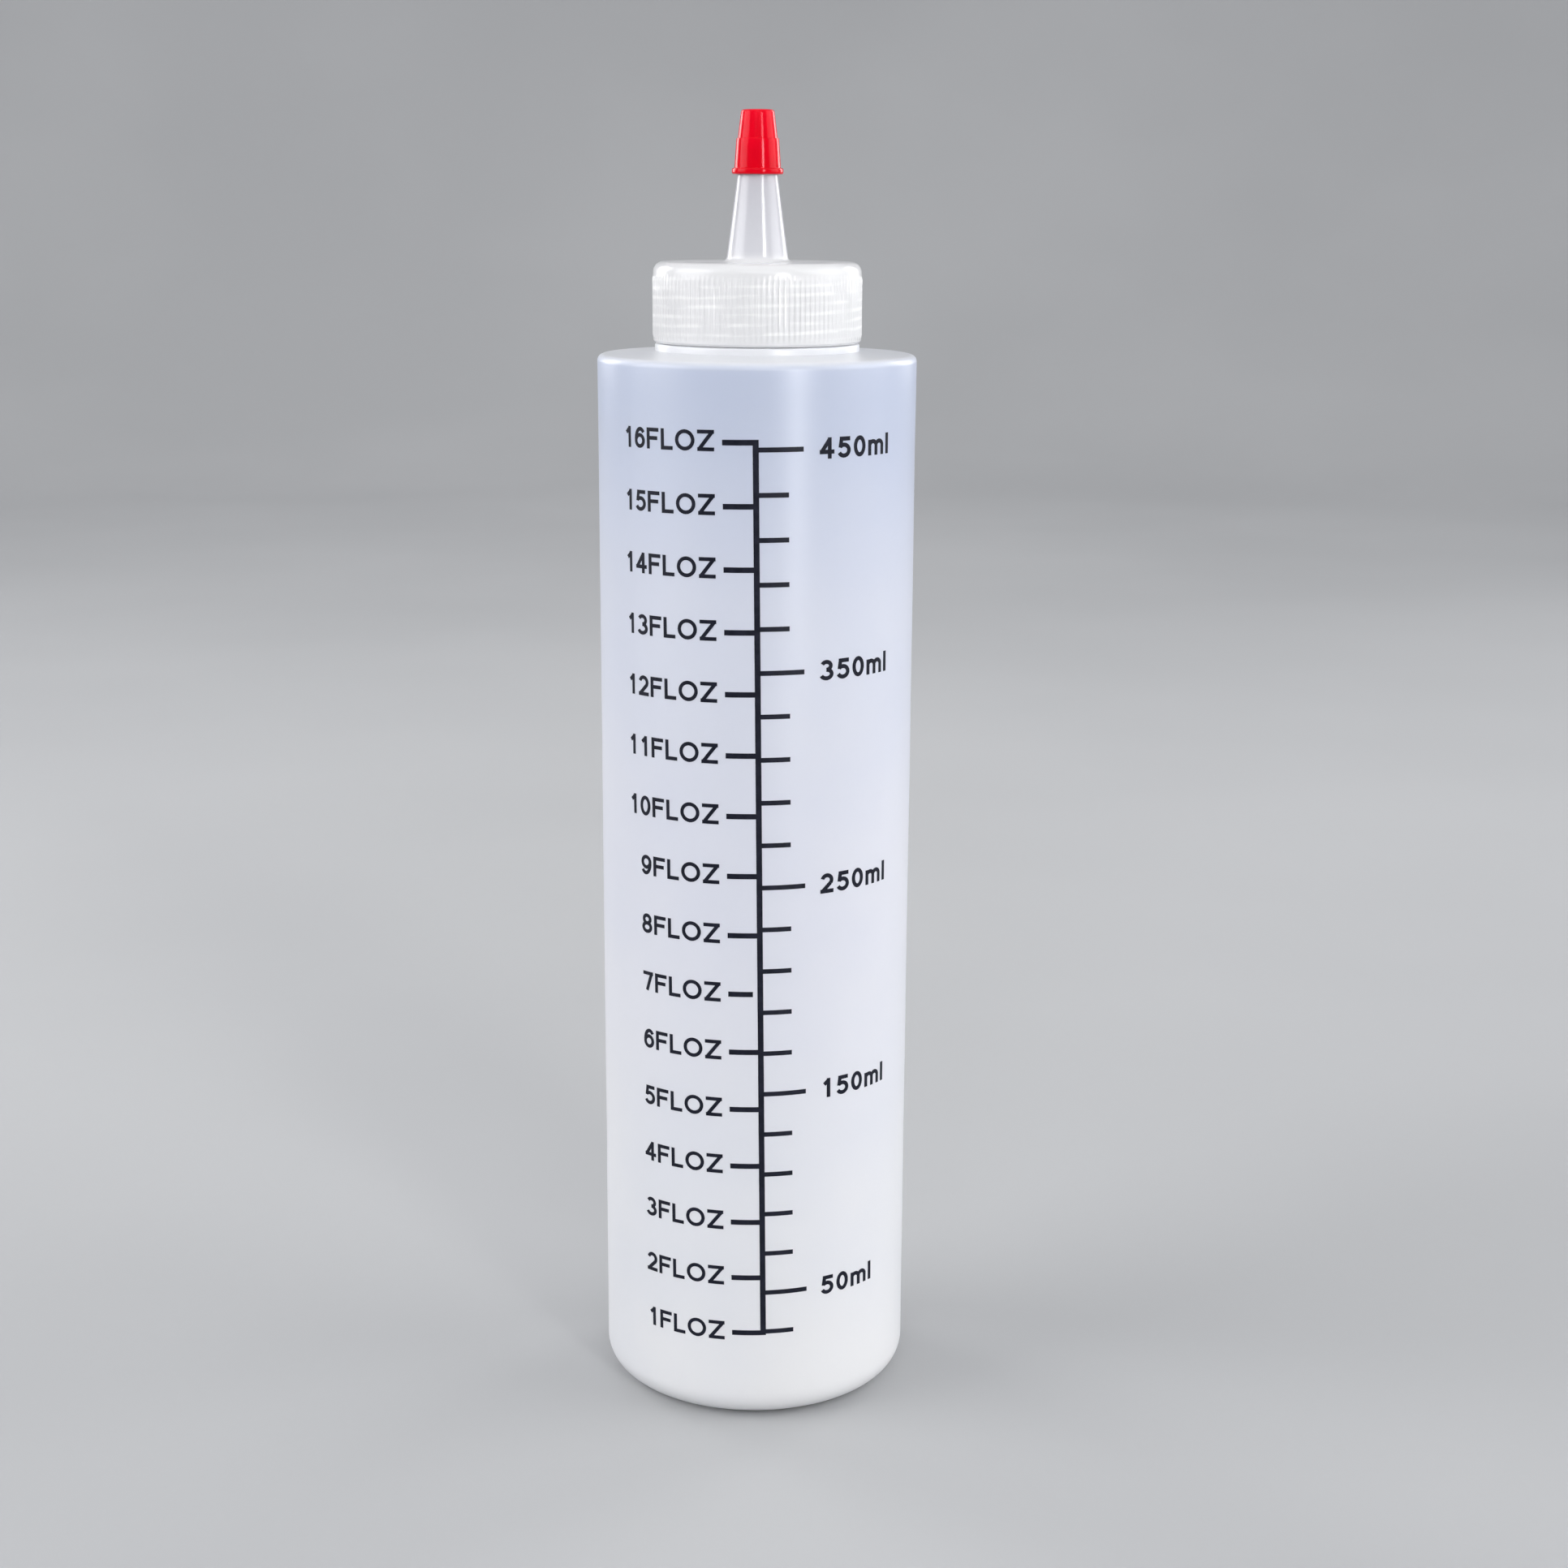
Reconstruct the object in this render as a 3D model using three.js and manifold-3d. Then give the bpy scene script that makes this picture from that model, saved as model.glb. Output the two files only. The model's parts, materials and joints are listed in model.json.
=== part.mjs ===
// Squeeze bottle: a blown translucent body, a ribbed screw cap with a moulded spout,
// a flat gasket under the cap and a small push-on tip cap.
// Millimetres, +Z up. The origin is the centre of the ring that the bottle stands on.

import * as THREE from "three";
import { mergeVertices } from "three/addons/utils/BufferGeometryUtils.js";
import Module from "manifold-3d";

const wasm = await Module();
wasm.setup();

// Overall size
const BODY_DIAMETER = 57;
const TOTAL_HEIGHT = 235;

// Bottle body
const WALL = 1;
const BASE_THICKNESS = 1.4;
const HEEL_RADIUS = 5.5;
const STANDING_RING_WIDTH = 5;
const PUSH_UP = 3;
const SHOULDER_HEIGHT = 193;
const SHOULDER_RISE = 0.6;
const SHOULDER_EDGE_RADIUS = 1.3;

// Neck
const NECK_RADIUS = 15.8;
const NECK_BORE_RADIUS = 14.3;
const NECK_RIM_HEIGHT = 205.8;
const NECK_RIM_ROUND = 0.5;
const NECK_BEAD_RADIUS = 18.2;
const NECK_BEAD_TOP = 194.6;

// Screw cap
const CAP_BOTTOM = 195;
const CAP_HEIGHT = 14;
const CAP_RADIUS = 18.45;
const CAP_INNER_RADIUS = 17.1;
const CAP_EDGE_RADIUS = 1.8;
const CAP_FOOT_CHAMFER = 0.4;
const CAP_PLATE = 1.6;
const COLLAR_RADIUS = 13.9;
const COLLAR_WALL = 1;
const COLLAR_DEPTH = 2.4;
const COLLAR_LEAD_IN = 0.4;

// Grip ribs round the cap
const RIB_COUNT = 120;
const RIB_HEIGHT = 0.3;
const RIB_FOOT_SHARE = 0.62;
const RIB_CREST_SHARE = 0.3;
const RIB_BAND_BOTTOM = 0.8;
const RIB_BAND_TOP = 11.6;

// Spout
const SPOUT_BASE_RADIUS = 5.5;
const SPOUT_TIP_RADIUS = 2.3;
const SPOUT_LENGTH = 24;
const SPOUT_FILLET = 1.1;
const SPOUT_TIP_ROUND = 0.35;
const SPOUT_WALL = 1.1;
const ORIFICE_RADIUS = 0.95;
const ORIFICE_LENGTH = 1.6;

// Gasket
const GASKET_OUTER_RADIUS = 16.6;
const GASKET_INNER_RADIUS = 14.25;
const GASKET_THICKNESS = 1;
const GASKET_ROUND = 0.2;

// Tip cap
const TIP_CAP_HEIGHT = 11;
const TIP_CAP_TOP_RADIUS = 2.95;
const TIP_CAP_STEP_RADIUS = 3.5;
const TIP_CAP_SKIRT_RADIUS = 3.75;
const TIP_CAP_FOOT_RADIUS = 4.1;
const TIP_CAP_RIM_RADIUS = 4.55;
const TIP_CAP_STEP_SHARE = 0.56;
const TIP_CAP_RIM_HEIGHT = 1.1;
const TIP_CAP_TOP_ROUND = 0.5;
const TIP_CAP_RIM_ROUND = 0.35;
const SOCKET_CLEARANCE = 0.3;

// Facets round each turned form
const BODY_SEGMENTS = 72;
const CAP_SEGMENTS = 72;
const SPOUT_SEGMENTS = 40;
const GASKET_SEGMENTS = 48;
const TIP_SEGMENTS = 40;

const BODY_RADIUS = BODY_DIAMETER / 2;
const QUARTER = Math.PI / 2;

function point(radius, height) {
  return new THREE.Vector2(radius, height);
}

// Points on a round stretch of a profile, from one angle to another, both ends included.
function arc(centreRadius, centreHeight, radius, from, to, steps) {
  const points = [];
  for (let i = 0; i <= steps; i += 1) {
    const angle = from + ((to - from) * i) / steps;
    points.push(point(centreRadius + radius * Math.cos(angle), centreHeight + radius * Math.sin(angle)));
  }
  return points;
}

// A shallow dome from its centre on the axis to its edge.
function dome(edgeRadius, edgeHeight, rise, steps) {
  const radius = (edgeRadius ** 2 + rise ** 2) / (2 * rise);
  const half = Math.asin(edgeRadius / radius);
  return arc(0, edgeHeight + rise - radius, radius, QUARTER, QUARTER - half, steps);
}

// Leaves only positions, shares the vertices and drops the empty triangles on the axis.
function closedMesh(geometry) {
  const bare = geometry.clone();
  bare.deleteAttribute("normal");
  bare.deleteAttribute("uv");
  const merged = mergeVertices(bare, 1e-4);
  const index = merged.index.array;
  const kept = [];
  for (let i = 0; i < index.length; i += 3) {
    const [a, b, c] = [index[i], index[i + 1], index[i + 2]];
    if (a !== b && b !== c && a !== c) {
      kept.push(a, b, c);
    }
  }
  merged.setIndex(kept);
  return merged;
}

// A solid of revolution about Z. The profile runs anticlockwise, with the material on its left.
function turned(profile, segments) {
  const geometry = new THREE.LatheGeometry(profile, segments);
  geometry.rotateX(QUARTER);
  return closedMesh(geometry);
}

function turnedRing(profile, segments) {
  return turned([...profile, profile[0].clone()], segments);
}

function toSolid(geometry) {
  return new wasm.Manifold(
    new wasm.Mesh({
      numProp: 3,
      vertProperties: new Float32Array(geometry.attributes.position.array),
      triVerts: new Uint32Array(geometry.index.array),
    }),
  );
}

function toGeometry(solid) {
  const mesh = solid.getMesh();
  const geometry = new THREE.BufferGeometry();
  geometry.setAttribute("position", new THREE.BufferAttribute(new Float32Array(mesh.vertProperties), 3));
  geometry.setIndex(new THREE.BufferAttribute(new Uint32Array(mesh.triVerts), 1));
  geometry.computeVertexNormals();
  return geometry;
}

function piece(name, geometry, material) {
  const mesh = new THREE.Mesh(geometry, material);
  mesh.name = name;
  return mesh;
}

// Blown body: outside from the push-up to the rim, then back down the inside to the floor.
function bottleBody() {
  const standOuter = BODY_RADIUS - HEEL_RADIUS;
  const standInner = standOuter - STANDING_RING_WIDTH;
  const neckFoot = SHOULDER_HEIGHT + SHOULDER_RISE;
  const edgeCentre = BODY_RADIUS - SHOULDER_EDGE_RADIUS;
  const innerEdge = SHOULDER_EDGE_RADIUS - WALL;
  const innerHeel = HEEL_RADIUS - WALL;
  const rim = NECK_RIM_HEIGHT - NECK_RIM_ROUND;
  const profile = [
    ...dome(standInner, 0, PUSH_UP, 6),
    ...arc(standOuter, HEEL_RADIUS, HEEL_RADIUS, -QUARTER, 0, 7),
    ...arc(edgeCentre, SHOULDER_HEIGHT - SHOULDER_EDGE_RADIUS, SHOULDER_EDGE_RADIUS, 0, QUARTER, 4),
    point(NECK_BEAD_RADIUS, neckFoot),
    point(NECK_BEAD_RADIUS, NECK_BEAD_TOP - NECK_RIM_ROUND),
    point(NECK_BEAD_RADIUS - NECK_RIM_ROUND, NECK_BEAD_TOP),
    point(NECK_RADIUS, NECK_BEAD_TOP),
    ...arc(NECK_RADIUS - NECK_RIM_ROUND, rim, NECK_RIM_ROUND, 0, QUARTER, 2),
    ...arc(NECK_BORE_RADIUS + NECK_RIM_ROUND, rim, NECK_RIM_ROUND, QUARTER, 2 * QUARTER, 2),
    point(NECK_BORE_RADIUS, neckFoot),
    point(NECK_BORE_RADIUS + WALL, neckFoot - WALL),
    ...arc(edgeCentre, SHOULDER_HEIGHT - SHOULDER_EDGE_RADIUS, innerEdge, QUARTER, 0, 2),
    ...arc(standOuter, BASE_THICKNESS + innerHeel, innerHeel, 0, -QUARTER, 5),
    ...dome(standInner, BASE_THICKNESS, PUSH_UP, 4).reverse(),
  ];
  return turned(profile, BODY_SEGMENTS);
}

// Cap shell, measured up from its foot: skirt, rounded top edge, plate and the collar inside.
function capShell() {
  const ceiling = CAP_HEIGHT - CAP_PLATE;
  const collarFoot = ceiling - COLLAR_DEPTH;
  const plateHole = SPOUT_BASE_RADIUS - SPOUT_WALL / 2;
  const edgeCentre = CAP_RADIUS - CAP_EDGE_RADIUS;
  const profile = [
    point(CAP_INNER_RADIUS, 0),
    point(CAP_RADIUS - CAP_FOOT_CHAMFER, 0),
    point(CAP_RADIUS, CAP_FOOT_CHAMFER),
    ...arc(edgeCentre, CAP_HEIGHT - CAP_EDGE_RADIUS, CAP_EDGE_RADIUS, 0, QUARTER, 4),
    point(plateHole, CAP_HEIGHT),
    point(plateHole, ceiling),
    point(COLLAR_RADIUS - COLLAR_WALL, ceiling),
    point(COLLAR_RADIUS - COLLAR_WALL, collarFoot),
    point(COLLAR_RADIUS - COLLAR_LEAD_IN, collarFoot),
    point(COLLAR_RADIUS, collarFoot + COLLAR_LEAD_IN),
    point(COLLAR_RADIUS, ceiling),
    point(CAP_INNER_RADIUS, ceiling),
  ];
  return turnedRing(profile, CAP_SEGMENTS);
}

// Outline of the grip: one trapezoid rib in each pitch, round the whole skirt.
function gripOutline() {
  const pitch = (2 * Math.PI) / RIB_COUNT;
  const foot = CAP_RADIUS - RIB_HEIGHT / 2;
  const crest = CAP_RADIUS + RIB_HEIGHT;
  const rib = [
    [foot, -RIB_FOOT_SHARE / 2],
    [crest, -RIB_CREST_SHARE / 2],
    [crest, RIB_CREST_SHARE / 2],
    [foot, RIB_FOOT_SHARE / 2],
  ];
  const points = [];
  for (let i = 0; i < RIB_COUNT; i += 1) {
    for (const [radius, share] of rib) {
      const angle = (i + share) * pitch;
      points.push(new THREE.Vector2(radius * Math.cos(angle), radius * Math.sin(angle)));
    }
  }
  return points;
}

// Band of upright ribs, rooted in the middle of the skirt's wall.
function gripBand() {
  const outline = new THREE.Shape(gripOutline());
  const hole = new THREE.Path();
  hole.absarc(0, 0, (CAP_RADIUS + CAP_INNER_RADIUS) / 2, 0, 2 * Math.PI, true);
  outline.holes.push(hole);
  const geometry = new THREE.ExtrudeGeometry(outline, {
    depth: RIB_BAND_TOP - RIB_BAND_BOTTOM,
    bevelEnabled: false,
    curveSegments: CAP_SEGMENTS / 2,
  });
  geometry.translate(0, 0, RIB_BAND_BOTTOM);
  return closedMesh(geometry);
}

function spoutRadius(height) {
  return SPOUT_BASE_RADIUS + ((SPOUT_TIP_RADIUS - SPOUT_BASE_RADIUS) * height) / SPOUT_LENGTH;
}

// Tapering spout, measured up from the cap's top, with its root sunk in the plate.
function spout() {
  const root = -CAP_PLATE / 2;
  const boreTop = SPOUT_LENGTH - ORIFICE_LENGTH;
  const filletRadius = spoutRadius(SPOUT_FILLET) + SPOUT_FILLET;
  const tipCentre = SPOUT_LENGTH - SPOUT_TIP_ROUND;
  const profile = [
    point(spoutRadius(root) - SPOUT_WALL, root),
    point(filletRadius, root),
    ...arc(filletRadius, SPOUT_FILLET, SPOUT_FILLET, -QUARTER, -2 * QUARTER, 4),
    ...arc(SPOUT_TIP_RADIUS - SPOUT_TIP_ROUND, tipCentre, SPOUT_TIP_ROUND, 0, QUARTER, 2),
    point(ORIFICE_RADIUS, SPOUT_LENGTH),
    point(ORIFICE_RADIUS, boreTop),
  ];
  return turnedRing(profile, SPOUT_SEGMENTS);
}

// The cap as it is moulded: shell, grip and spout are one solid.
function spoutCap() {
  const raisedSpout = spout();
  raisedSpout.translate(0, 0, CAP_HEIGHT);
  const solid = toSolid(capShell()).add(toSolid(gripBand())).add(toSolid(raisedSpout));
  return toGeometry(solid);
}

// Flat ring that fills the space between the neck's rim and the cap's ceiling.
function capGasket() {
  const high = GASKET_THICKNESS - GASKET_ROUND;
  const profile = [
    ...arc(GASKET_OUTER_RADIUS - GASKET_ROUND, GASKET_ROUND, GASKET_ROUND, -QUARTER, 0, 1),
    ...arc(GASKET_OUTER_RADIUS - GASKET_ROUND, high, GASKET_ROUND, 0, QUARTER, 1),
    ...arc(GASKET_INNER_RADIUS + GASKET_ROUND, high, GASKET_ROUND, QUARTER, 2 * QUARTER, 1),
    ...arc(GASKET_INNER_RADIUS + GASKET_ROUND, GASKET_ROUND, GASKET_ROUND, 2 * QUARTER, 3 * QUARTER, 1),
  ];
  return turnedRing(profile, GASKET_SEGMENTS);
}

// Stepped cone, measured up from its rim, with a tapered blind socket that takes the spout.
function tipCap() {
  const capTop = CAP_BOTTOM + CAP_HEIGHT;
  const rimOnSpout = TOTAL_HEIGHT - TIP_CAP_HEIGHT - capTop;
  const socketTop = SPOUT_LENGTH - rimOnSpout + SOCKET_CLEARANCE;
  const stepHeight = TIP_CAP_HEIGHT * TIP_CAP_STEP_SHARE;
  const topCentre = TIP_CAP_HEIGHT - TIP_CAP_TOP_ROUND;
  const rimRound = TIP_CAP_RIM_RADIUS - TIP_CAP_RIM_ROUND;
  const profile = [
    point(0, socketTop),
    point(SPOUT_TIP_RADIUS + SOCKET_CLEARANCE, socketTop),
    point(spoutRadius(rimOnSpout) + SOCKET_CLEARANCE, 0),
    ...arc(rimRound, TIP_CAP_RIM_ROUND, TIP_CAP_RIM_ROUND, -QUARTER, 0, 2),
    ...arc(rimRound, TIP_CAP_RIM_HEIGHT - TIP_CAP_RIM_ROUND, TIP_CAP_RIM_ROUND, 0, QUARTER, 2),
    point(TIP_CAP_FOOT_RADIUS, TIP_CAP_RIM_HEIGHT),
    point(TIP_CAP_SKIRT_RADIUS, stepHeight),
    point(TIP_CAP_STEP_RADIUS, stepHeight),
    ...arc(TIP_CAP_TOP_RADIUS - TIP_CAP_TOP_ROUND, topCentre, TIP_CAP_TOP_ROUND, 0, QUARTER, 3),
    point(0, TIP_CAP_HEIGHT),
  ];
  return turned(profile, TIP_SEGMENTS);
}

const milkyPlastic = new THREE.MeshStandardMaterial({ color: 0xe2e6f0, roughness: 0.42, metalness: 0 });
const paleCapPlastic = new THREE.MeshStandardMaterial({ color: 0xf2f2f4, roughness: 0.38, metalness: 0 });
const sealFoam = new THREE.MeshStandardMaterial({ color: 0xf6f6f2, roughness: 0.7, metalness: 0 });
const redPlastic = new THREE.MeshStandardMaterial({ color: 0xe30a2a, roughness: 0.3, metalness: 0 });

const gasketGap = (CAP_BOTTOM + CAP_HEIGHT - CAP_PLATE - NECK_RIM_HEIGHT - GASKET_THICKNESS) / 2;

const body = piece("bottle_body", bottleBody(), milkyPlastic);

const cap = piece("spout_cap", spoutCap(), paleCapPlastic);
cap.position.z = CAP_BOTTOM;

const gasket = piece("cap_gasket", capGasket(), sealFoam);
gasket.position.z = NECK_RIM_HEIGHT + gasketGap;

const tip = piece("tip_cap", tipCap(), redPlastic);
tip.position.z = TOTAL_HEIGHT - TIP_CAP_HEIGHT;

const closure = new THREE.Group();
closure.add(gasket, cap, tip);

const squeezeBottle = new THREE.Group();
squeezeBottle.add(body, closure);

export default squeezeBottle;
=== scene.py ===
# Looks of a squeeze bottle: a blown milky body with a printed measuring scale, a ribbed screw cap
# with a tapering spout, a sealing ring and a red push-on tip cap.
# Metres, +Z up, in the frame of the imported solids. The scale is printed on the -Y side.

import json
import math

import bmesh
import bpy
from mathutils import Matrix, Vector, noise
from mathutils.geometry import delaunay_2d_cdt


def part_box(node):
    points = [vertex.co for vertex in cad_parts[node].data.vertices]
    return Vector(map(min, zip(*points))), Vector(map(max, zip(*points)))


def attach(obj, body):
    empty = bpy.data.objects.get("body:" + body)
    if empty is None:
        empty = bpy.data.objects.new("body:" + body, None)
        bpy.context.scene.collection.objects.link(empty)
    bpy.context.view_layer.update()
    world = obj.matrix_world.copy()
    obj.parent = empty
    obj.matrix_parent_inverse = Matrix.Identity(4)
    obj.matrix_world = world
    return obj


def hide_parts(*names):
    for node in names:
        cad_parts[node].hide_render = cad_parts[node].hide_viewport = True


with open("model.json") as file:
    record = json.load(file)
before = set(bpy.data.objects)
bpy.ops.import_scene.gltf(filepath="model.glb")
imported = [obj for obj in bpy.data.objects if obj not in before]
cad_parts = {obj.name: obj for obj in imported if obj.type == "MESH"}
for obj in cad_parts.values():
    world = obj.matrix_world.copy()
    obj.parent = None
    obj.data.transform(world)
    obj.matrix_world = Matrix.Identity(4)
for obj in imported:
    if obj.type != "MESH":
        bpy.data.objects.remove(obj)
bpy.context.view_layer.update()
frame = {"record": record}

MM = 0.001
FULL_TURN = 2 * math.pi
ON_AXIS = 1e-6
SMOOTH_UP_TO = math.radians(38)

# Sizes that the frame gives
_, BODY_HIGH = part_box("bottle_body")
CAP_LOW, CAP_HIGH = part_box("spout_cap")
GASKET_LOW, GASKET_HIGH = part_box("cap_gasket")
TIP_LOW, TIP_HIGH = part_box("tip_cap")
THREAD_PITCH = frame["record"]["behaviour"]["couplings"][0]["ratio"] * FULL_TURN

# Blown body
PRINT_ROOM = 0.07 * MM
WALL_RADIUS = BODY_HIGH.x - PRINT_ROOM
WALL = 1.0 * MM
BASE_THICKNESS = 1.4 * MM
HEEL_RADIUS = 5.5 * MM
STANDING_RING = 5.0 * MM
STAND_OUTER = WALL_RADIUS - HEEL_RADIUS
STAND_INNER = STAND_OUTER - STANDING_RING
PUSH_UP = 3.0 * MM
SHOULDER_HEIGHT = 193.0 * MM
SHOULDER_RISE = 0.6 * MM
SHOULDER_EDGE = 1.3 * MM
EDGE_RADIUS = WALL_RADIUS - SHOULDER_EDGE
EDGE_HEIGHT = SHOULDER_HEIGHT - SHOULDER_EDGE
NECK_FOOT = SHOULDER_HEIGHT + SHOULDER_RISE
NECK_RADIUS = 15.8 * MM
NECK_BORE = 14.3 * MM
RIM_ROUND = 0.5 * MM
RIM_HEIGHT = BODY_HIGH.z - RIM_ROUND
BEAD_RADIUS = 18.2 * MM
BEAD_TOP = 194.92 * MM
BODY_SIDES = 192
WALL_ROWS = 44
DOME_STEPS = 14
RING_STEPS = 3
HEEL_STEPS = 12
INNER_HEEL_STEPS = 8
EDGE_STEPS = 10
INNER_EDGE_STEPS = 5
SHOULDER_STEPS = 5
BEAD_STEPS = 4
RIM_STEPS = 5
DIP_DEPTH = 0.10 * MM
DIP_LENGTH = 34.0 * MM
DIP_RATE = 1.7
DIP_FADE = 16.0 * MM
PARTING_HEIGHT = 0.05 * MM
PARTING_HALF_ANGLE = math.radians(0.9)
PARTING_STEPS = (0.3, 0.6, 0.9)
PINCH_LENGTH = 26.0 * MM
PINCH_WIDTH = 1.3 * MM
PINCH_ROOT_SHARE = 0.5
PINCH_CREST_SHARE = 0.3
PINCH_HEIGHT = 0.4 * MM
PINCH_END_SLOPE = 6.0
PINCH_STEPS = 26

# Screw thread on the neck and in the cap
NECK_THREAD_CREST = 16.8 * MM
NECK_THREAD_TURNS = (0.0, 2.0)
NECK_THREAD_LEAD = 0.0
CAP_THREAD_CREST = 16.1 * MM
CAP_THREAD_TURNS = (0.35, 2.35)
CAP_THREAD_LEAD = -0.5
THREAD_FOOT_WIDTH = 1.5 * MM
THREAD_CREST_WIDTH = 0.6 * MM
THREAD_SINK = 0.15 * MM
THREAD_BASE = 197.2 * MM
THREAD_STEPS = 96
THREAD_RUN_OUT = 0.12

# Screw cap with its spout
SOLID_RIB_HEIGHT = 0.3 * MM
CAP_FOOT = CAP_LOW.z
CAP_TOP = CAP_FOOT + 14.0 * MM
CAP_RADIUS = CAP_HIGH.x - SOLID_RIB_HEIGHT
CAP_BORE = 17.1 * MM
CAP_EDGE = 1.8 * MM
CAP_EDGE_STEPS = 8
CAP_CHAMFER = 0.4 * MM
CAP_PLATE = 1.6 * MM
CAP_PLATE_STEPS = 3
COLLAR_RADIUS = 13.9 * MM
COLLAR_WALL = 1.0 * MM
COLLAR_DEPTH = 2.4 * MM
RIB_COUNT = 120
RIB_HEIGHT = 0.14 * MM
RIB_CREST = 0.14
RIB_SIDE = 0.24
RIB_FOOT = 0.32
RIB_SHARES = (-0.5, -RIB_FOOT, -RIB_SIDE, -RIB_CREST, RIB_CREST, RIB_SIDE, RIB_FOOT)
RIB_BAND_LOW = CAP_FOOT + 0.8 * MM
RIB_BAND_HIGH = CAP_FOOT + 11.6 * MM
RIB_END = 0.6 * MM
RIB_ROWS = 4
SPOUT_TOP = CAP_HIGH.z
SPOUT_BASE_RADIUS = 5.5 * MM
SPOUT_TIP_RADIUS = 2.3 * MM
SPOUT_ROWS = 5
SPOUT_FILLET = 1.1 * MM
SPOUT_FILLET_STEPS = 6
SPOUT_ROUND = 0.35 * MM
SPOUT_ROUND_STEPS = 4
SPOUT_WALL = 1.1 * MM
ORIFICE_RADIUS = 0.95 * MM
ORIFICE_LENGTH = 1.6 * MM

# Sealing ring
GASKET_BORE = 14.25 * MM
GASKET_ROUND = 0.2 * MM
GASKET_ROUND_STEPS = 3
GASKET_SIDES = 128

# Tip cap
TIP_SIDES = 96
TIP_ROWS = 4
TIP_TOP_RADIUS = 2.95 * MM
TIP_TOP_ROUND = 0.5 * MM
TIP_TOP_STEPS = 6
TIP_STEP_RADIUS = 3.5 * MM
TIP_STEP_SHARE = 0.56
TIP_STEP_ROUND = 0.12 * MM
TIP_STEP_STEPS = 4
TIP_SKIRT_RADIUS = 3.75 * MM
TIP_FOOT_RADIUS = 4.1 * MM
TIP_RIM_HEIGHT = 1.1 * MM
TIP_RIM_ROUND = 0.35 * MM
TIP_RIM_STEPS = 5
TIP_CLEARANCE = 0.3 * MM

# Printed scale, in millimetres across the unrolled wall and up from the floor
PRINT_ANGLE = math.radians(1.4)
PRINT_TILT = math.radians(0.63)
PRINT_MIDDLE = 97.0
LINE_WIDTH = 1.02
OUNCES = range(1, 17)
OUNCE_FIRST = 17.61
OUNCE_STEP = 10.813
OUNCE_TICK = 5.2
OUNCE_TICK_THICK = 0.95
OUNCE_LABEL_GAP = 7.1
OUNCE_LABEL_LIFT = 0.3
SHORT_TICK_OUNCE = 7
SHORT_TICK_GAP = 0.8
MILLILITRES = range(30, 451, 20)
MILLILITRE_LABELS = range(50, 451, 100)
MILLILITRE_FIRST = 17.83
MILLILITRE_STEP = 7.654
MILLILITRE_TICK = 5.1
MILLILITRE_LONG_TICK = 7.7
MILLILITRE_TICK_THICK = 0.85
MILLILITRE_LABEL_GAP = 11.1
CAPITAL_HEIGHT = 3.6
OUNCE_STYLE = {"stroke": 0.18, "stretch": 1.05, "gap": 0.14}
MILLILITRE_STYLE = {"stroke": 0.2, "stretch": 1.1, "gap": 0.19}
INK_TOP = 0.04 * MM
INK_ROOT = -0.03 * MM
WRAP_STEP = 1.0
PRINT_ROW_STEP = 4.0
BOW_STEPS = 28
SAME_POINT = 1e-5
HULL_TRIANGLES = 0

# Finishes
UNIT = (0.0, 1.0)
NOISE_SPAN = (0.3, 0.7)
WHITE = (1.0, 1.0, 1.0)
UNSTRETCHED = (1.0, 1.0, 1.0)
STREAK_STRETCH = (1.0, 1.0, 0.03)
PATCH_DETAIL = 5.0
GRAIN_DETAIL = 2.0
# Pale colour of the painted highlight bands on the cap's skirt
BAND_HIGHLIGHT = (0.94, 0.94, 0.94)
BANDS_IN_PITCH = 2.0
BAND_PEAK = 0.5
BAND_EDGES = (0.22, 0.42)
BAND_TOP = (CAP_TOP - 3.6 * MM, CAP_TOP - 2.2 * MM)
BAND_FOOT = (CAP_FOOT + 1.0 * MM, CAP_FOOT + 2.0 * MM)
# Noise that breaks the painted highlight bands into short pieces
BAND_BREAKUP = {"scale": 150.0, "detail": 5.0, "stretch": (1.0, 1.0, 5.0)}
BAND_BREAKUP_EDGES = (0.4, 0.62)
FOAM_TONES = ((0.3, (0.84, 0.84, 0.81)), (0.7, (0.93, 0.93, 0.91)))
FOAM_TONE_SCALE = 500.0
FOAM_CELL_SCALE = 2600.0
FOAM_CELL_DEPTH = 0.15 * MM
FOAM_BUMP = 0.35
FOAM_ROUGHNESS = (0.62, 0.8)
INK_TONES = ((0.35, (0.003, 0.004, 0.011)), (0.7, (0.008, 0.009, 0.02)))
INK_FILM = {"scale": 900.0, "detail": 4.0}
INK_ROUGHNESS = (0.38, 0.55)
INK_GRAIN_SCALE = 2400.0
INK_GRAIN_DEPTH = 0.03 * MM
INK_BUMP = 0.15
PAPER_TONES = ((0.3, (0.41, 0.415, 0.425)), (0.7, (0.44, 0.445, 0.455)))
PAPER_SCALE = 2.5

# Places of a colour mix node's sockets
MIX_SHARE, MIX_FIRST, MIX_SECOND = 0, 6, 7
MIX_RESULT = 2

# Studio
FLOOR_DROP = 0.2 * MM
FLOOR_RADIUS = 1.5
FLOOR_SIDES = 128
COVE_RADIUS = 0.7
COVE_TOP = 1.1
COVE_STEPS = 24
LAMP_AIM = Vector((0.0, 0.0, 0.11))
BACKDROP_AIM = Vector((0.0, 1.9, 0.2))
AIR_COLOUR = (0.93, 0.95, 1.0, 1.0)
AIR_STRENGTH = 0.38
CAMERA_PLACE = Vector((0.0, -0.45, 0.219))
CAMERA_LENS = 57.2
CAMERA_YAW = math.radians(0.66)
CAMERA_PITCH = math.radians(13.11)
CAMERA_ROLL = math.radians(0.3)


def ease(value):
    """Smooth step from 0 to 1."""
    value = min(1.0, max(0.0, value))
    return value * value * (3 - 2 * value)


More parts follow.
